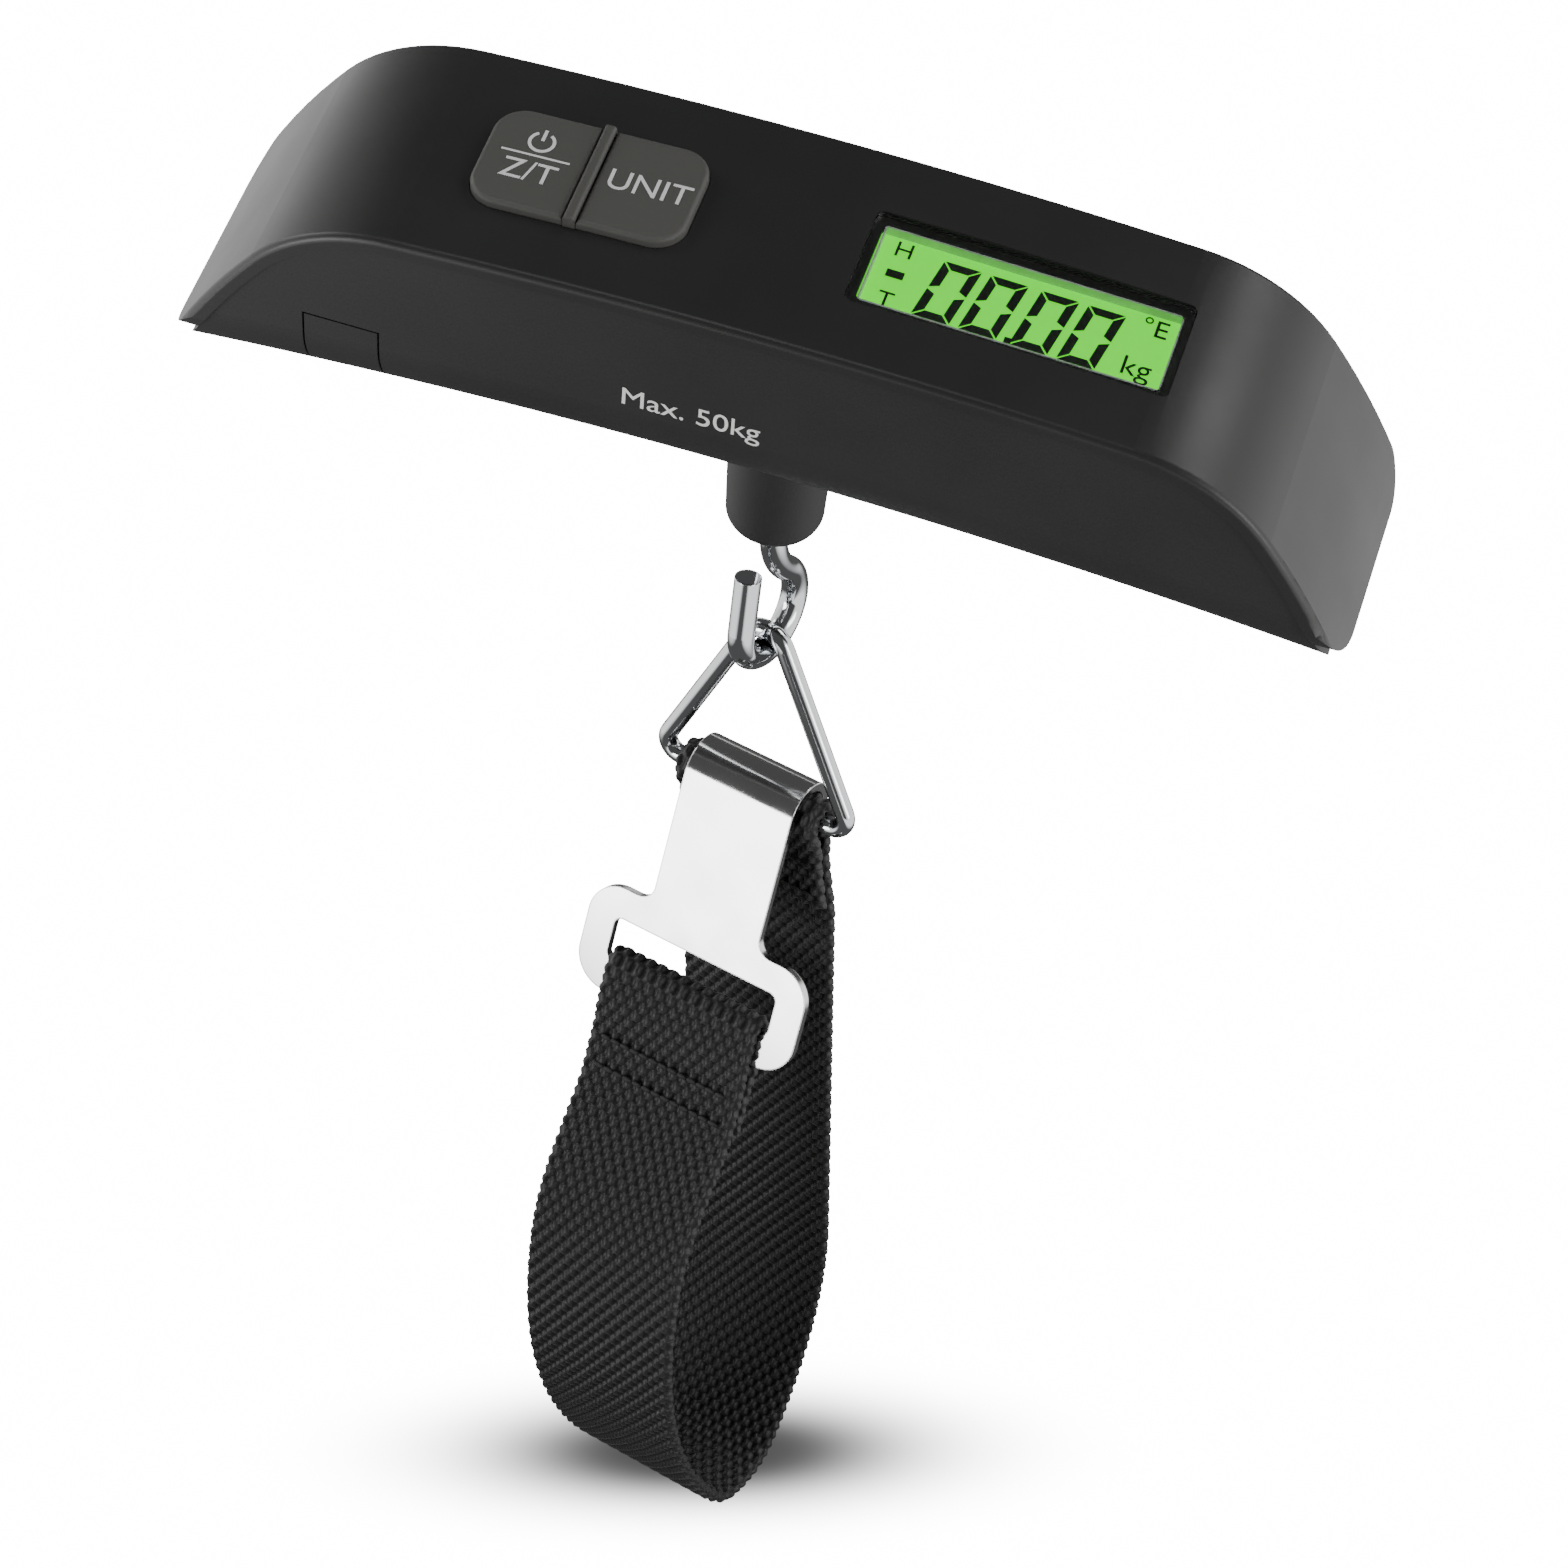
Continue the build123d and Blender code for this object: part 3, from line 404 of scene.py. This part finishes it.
# A frame lying on a CAD node's upper face at a place, found by looking straight down.
def onTop(node, x, y, stand):
    spot, normal = nodes[node].ray_cast(Vector((x * mm, y * mm, 0.1)), Vector((0, 0, -1)))[1:3]
    lean = atan2(normal.x, normal.z)
    print(node, "top", round(spot.z / mm, 2), "lean", round(degrees(lean), 2), flush=True)
    return Matrix.Translation(spot + normal * stand * mm) @ Matrix.Rotation(lean, 4, "Y")


bpy.context.view_layer.update()
# Legends on the keys: power symbol over a line over Z/T, and UNIT.
keys = {"level": 0.02, "powerX": -33.4, "unitX": -19.0, "letter": 4.5, "stroke": 0.42}


def arcStroke(x, y, radius, low, high, stroke, steps=40):
    outer = [low + (high - low) * i / steps for i in range(steps + 1)]
    return [
        (x + (radius + stroke / 2) * cos(radians(a)), y + (radius + stroke / 2) * sin(radians(a)))
        for a in outer
    ] + [
        (x + (radius - stroke / 2) * cos(radians(a)), y + (radius - stroke / 2) * sin(radians(a)))
        for a in outer[::-1]
    ]


def bar(x0, y0, x1, y1):
    return [(x0, y0), (x1, y0), (x1, y1), (x0, y1)]


powerPlace = onTop("power_button", keys["powerX"], 0, keys["level"])
unitPlace = onTop("unit_button", keys["unitX"], 0, keys["level"])
thin = keys["stroke"]
shape("power_symbol", "power_key", legendInk, [
    arcStroke(0, 3.0, 1.5, 122, 418, thin),
    bar(-thin / 2, 3.2, thin / 2, 5.0),
    bar(-4.3, 0.5, 4.3, 0.5 + thin * 0.7),
], powerPlace)
printed("zero_tare_legend", "power_key", legendInk, "Z/T", keys["letter"],
        powerPlace @ Matrix.Translation((0, -2.1 * mm, 0)))
printed("unit_legend", "unit_key", legendInk, "UNIT", keys["letter"], unitPlace)

# Display: slanted seven-segment digits and small marks, just above the cell.
display = {"x": 27.3, "y": -0.1, "slant": 0.16, "digit": 9.4, "wide": 4.7, "bar": 1.15}
glassTop = onTop("lcd_glass", display["x"], 0, 0.04)


def segments(which, x, y, high, wide, bold):
    t, h = bold, high / 2
    g = 0.14
    spans = {
        "a": [(g, high), (wide - g, high), (wide - t - g, high - t), (t + g, high - t)],
        "b": [(wide, high - g), (wide, h + g), (wide - t, h + t / 2 + g), (wide - t, high - t - g)],
        "c": [(wide, h - g), (wide, g), (wide - t, t + g), (wide - t, h - t / 2 - g)],
        "d": [(g, 0), (t + g, t), (wide - t - g, t), (wide - g, 0)],
        "e": [(0, h - g), (t, h - t / 2 - g), (t, t + g), (0, g)],
        "f": [(0, high - g), (t, high - t - g), (t, h + t / 2 + g), (0, h + g)],
        "g": [(t / 2 + g, h), (t + g, h + t / 2), (wide - t - g, h + t / 2), (wide - t / 2 - g, h),
              (wide - t - g, h - t / 2), (t + g, h - t / 2)],
    }
    return [
        [(x + px + (y + py) * display["slant"], y + py) for px, py in spans[name]] for name in which
    ]


digitOutlines = []
for x in (-11.4, -5.6, 0.7, 6.5):
    digitOutlines += segments("abcdef", x, -4.8, display["digit"], display["wide"], display["bar"])
digitOutlines.append(bar(-0.75, -4.8, 0.15, -3.9))
shape("display_digits", "body", digitInk, digitOutlines, glassTop, 0.02)
for name, text, size, x, y in (
    ("hold_mark", "H", 3.4, -15.6, 4.2), ("tare_mark", "T", 3.4, -15.6, -3.9),
    ("degree_mark", "\u00b0E", 3.8, 15.6, 4.0), ("kilogram_mark", "kg", 4.2, 15.0, -2.7),
):
    printed(name, "body", digitInk, text, size, glassTop @ Matrix.Translation((x * mm, y * mm, 0)))
shape("battery_mark", "body", digitInk, [bar(-16.7, -0.3, -14.5, 0.9)], glassTop, 0.02)

# Pale liner round the window, between the cell and the lens.
lined = {"x": 18.6, "y": 6.15, "thick": 0.22, "high": 1.3}
edge = lined["thick"]
shape("window_liner", "body", innerPlastic, [
    bar(-lined["x"], -lined["y"], -lined["x"] + edge, lined["y"]),
    bar(lined["x"] - edge, -lined["y"], lined["x"], lined["y"]),
    bar(-lined["x"] + edge, lined["y"] - edge, lined["x"] - edge, lined["y"]),
    bar(-lined["x"] + edge, -lined["y"], lined["x"] - edge, -lined["y"] + edge),
], glassTop, lined["high"])

# Rating on the front panel, printed on the housing's front face.
front = min(v.co.y for v in nodes["lower_housing"].data.vertices
            if abs(v.co.x + 8 * mm) < 12 * mm and abs(v.co.z - 13 * mm) < 6 * mm)
rating = Matrix.Translation((-7.6 * mm, front - 0.02 * mm, 13.4 * mm)) @ Matrix.Rotation(radians(90), 4, "X")
printed("rating_legend", "body", greyInk, "Max. 50kg", 4.3, rating)
print("marks made", flush=True)

# Thread lies across the sewn laps in short bars, row by row down the lap.
stitching = {
    "count": 13, "spread": 0.9, "bar": (0.78, 0.36, 0.2), "proud": 0.16,
    "plateRows": (1.0, 5.4), "ringRows": (2.2, 7.6),
}


def stitches(name, body, laps, rows):
    count = stitching["count"]
    thread = Matrix.Diagonal([*(half * mm for half in stitching["bar"]), 1])
    bm = bmesh.new()
    for (top, foot), side in laps:
        ahead = (foot - top).normalized()
        out = Vector((-ahead.y, ahead.x)) * side * (web["thickness"] / 2 + stitching["proud"])
        for row in rows:
            middle = top + ahead * row + out
            for i in range(count):
                x = (i - (count - 1) / 2) * web["gather"] * stitching["spread"] / count
                at = Matrix.Translation(hang @ (Vector((x, middle.x, middle.y)) * mm))
                lay = at @ hang.to_3x3().to_4x4() @ Matrix.Rotation(atan2(ahead.y, ahead.x), 4, "X")
                bmesh.ops.create_uvsphere(bm, u_segments=14, v_segments=8, radius=1.0, matrix=lay @ thread)
    for face in bm.faces:
        face.smooth = True
    mesh = bpy.data.meshes.new(name)
    bm.to_mesh(mesh)
    bm.free()
    made = bpy.data.objects.new(name, mesh)
    bpy.context.collection.objects.link(made)
    mesh.materials.append(threadFibre)
    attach(made, body)


stitches("plate_stitches", "plate", [(plateEnd[-2:], -1)], stitching["plateRows"])
stitches("ring_stitches", "strap", [(ringEnd[-2:], 1), (ringEnd[1::-1], -1)],
         stitching["ringRows"])
print("stitches made", flush=True)

# The floor: white paper with a painted shadow: it darkens in a soft pool under the strap.
floor = {
    "z": -190 * mm, "size": 6.0, "glow": 16.0, "shadowDarkest": 0.06,
    "shadeX": 12.7 * mm, "shadeY": -43.7 * mm, "shadeTurn": 20,
    "shadeLong": 72 * mm, "shadeWide": 19 * mm,
}
bpy.ops.mesh.primitive_plane_add(size=floor["size"], location=(0, 0, floor["z"]))
ground = bpy.context.object
ground.name = "studio_floor"
paper, tree, shader = surface("studio paper, white", "#ffffff", 0.9)
tree.nodes.remove(shader)
place = addNode(tree, "ShaderNodeTexCoord")
lay = addNode(tree, "ShaderNodeMapping", [(place.outputs["Object"], "Vector")], vector_type="TEXTURE")
lay.inputs["Location"].default_value = (floor["shadeX"], floor["shadeY"], 0)
lay.inputs["Rotation"].default_value = (0, 0, radians(floor["shadeTurn"]))
lay.inputs["Scale"].default_value = (floor["shadeLong"], floor["shadeWide"], 1)
# Painted shadow: a soft elliptical pool, darkest at its middle, that only the camera sees.
paintedShadowPool = addNode(tree, "ShaderNodeTexGradient", [(lay.outputs["Vector"], "Vector")], gradient_type="SPHERICAL")
soften = addNode(tree, "ShaderNodeMapRange", [(paintedShadowPool.outputs["Fac"], "Value")], interpolation_type="SMOOTHERSTEP")
soften.inputs["From Min"].default_value = 0.0
soften.inputs["From Max"].default_value = 0.9
soften.inputs["To Min"].default_value = 1.0
soften.inputs["To Max"].default_value = floor["shadowDarkest"]
fall = addNode(tree, "ShaderNodeMath", [(soften.outputs["Result"], 0)], operation="POWER")
fall.inputs[1].default_value = 1.8
bright = addNode(tree, "ShaderNodeMath", [(fall.outputs["Value"], 0)], operation="MULTIPLY")
bright.inputs[1].default_value = floor["glow"]
path = addNode(tree, "ShaderNodeLightPath")
level = addNode(tree, "ShaderNodeMix", [
    (path.outputs["Is Camera Ray"], "Factor"), (bright.outputs["Value"], "B")])
sides = addNode(tree, "ShaderNodeSeparateXYZ", [(place.outputs["Object"], "Vector")])
aside = addNode(tree, "ShaderNodeMath", [(sides.outputs["X"], 0)], operation="ABSOLUTE")
pale = addNode(tree, "ShaderNodeMapRange", [(aside.outputs["Value"], "Value")])
pale.inputs["From Min"].default_value = 0.13
pale.inputs["From Max"].default_value = 0.22
pale.inputs["To Min"].default_value = 0.1
pale.inputs["To Max"].default_value = 1.5
tree.links.new(pale.outputs["Result"], level.inputs["A"])
glow = addNode(tree, "ShaderNodeEmission", [(level.outputs["Result"], "Strength")])
tree.links.new(glow.outputs["Emission"], tree.nodes["Material Output"].inputs["Surface"])
ground.data.materials.append(paper)

# The room: white to the camera, and to the object a dim room with a bright horizon.
world = bpy.data.worlds.new("studio")
bpy.context.scene.world = world
world.use_nodes = True
tree = world.node_tree
backdrop = tree.nodes["Background"]
place = addNode(tree, "ShaderNodeTexCoord")
split = addNode(tree, "ShaderNodeSeparateXYZ", [(place.outputs["Generated"], "Vector")])
across = addNode(tree, "ShaderNodeMapRange", [(split.outputs["X"], "Value")])
across.inputs["From Min"].default_value = -1.0
room = addNode(tree, "ShaderNodeValToRGB", [(across.outputs["Result"], "Fac")])
room.color_ramp.elements[0].position = 0.06
room.color_ramp.elements[0].color = (1.1, 1.1, 1.1, 1)
room.color_ramp.elements[1].position = 0.86
room.color_ramp.elements[1].color = (1.4, 1.4, 1.4, 1)
for position, value in ((0.11, 0.08), (0.78, 0.08)):
    room.color_ramp.elements.new(position).color = (value, value, value, 1)
path = addNode(tree, "ShaderNodeLightPath")
level = addNode(tree, "ShaderNodeMix", [
    (path.outputs["Is Camera Ray"], "Factor"), (room.outputs["Color"], "A")], data_type="RGBA")
level.inputs["B"].default_value = (floor["glow"], floor["glow"], floor["glow"], 1)
tree.links.new(level.outputs["Result"], backdrop.inputs["Color"])


# A soft box: its radiance is set, and its power follows from its size.
def softbox(name, toward, distance, size, radiance):
    light = bpy.data.lights.new(name, "AREA")
    light.shape = "RECTANGLE"
    light.size, light.size_y = size
    light.energy = radiance * pi * size[0] * size[1]
    made = bpy.data.objects.new(name, light)
    bpy.context.collection.objects.link(made)
    made.location = Vector(toward).normalized() * distance
    made.rotation_euler = (-Vector(toward)).to_track_quat("-Z", "Y").to_euler()
    return made


softbox("plate light", (-0.62, -0.72, 0.06), 0.8, (0.34, 0.34), 7.0)
softbox("rim light", (0.5, 0.62, 0.62), 0.9, (0.3, 0.3), 4.0)
softbox("top light", (-0.2, 0.1, 1.0), 1.2, (0.4, 0.4), 2.5)
softbox("side light", (1.0, -0.5, 0.3), 0.9, (0.25, 0.6), 4.0)
softbox("strap light", (-1.0, 0.35, 0.5), 0.9, (0.3, 0.5), 3.5)

view = {
    "place": (0.0872, -0.3672, 0.4472), "turn": (0.618818, -0.061364, 0.306275), "lens": 108.5,
}
lens = bpy.data.cameras.new("camera")
lens.sensor_width = 36.0
lens.lens = view["lens"]
lens.clip_start = 0.01
camera = bpy.data.objects.new("camera", lens)
bpy.context.collection.objects.link(camera)
camera.location = view["place"]
camera.rotation_euler = Euler(view["turn"], "XYZ")
bpy.context.scene.camera = camera
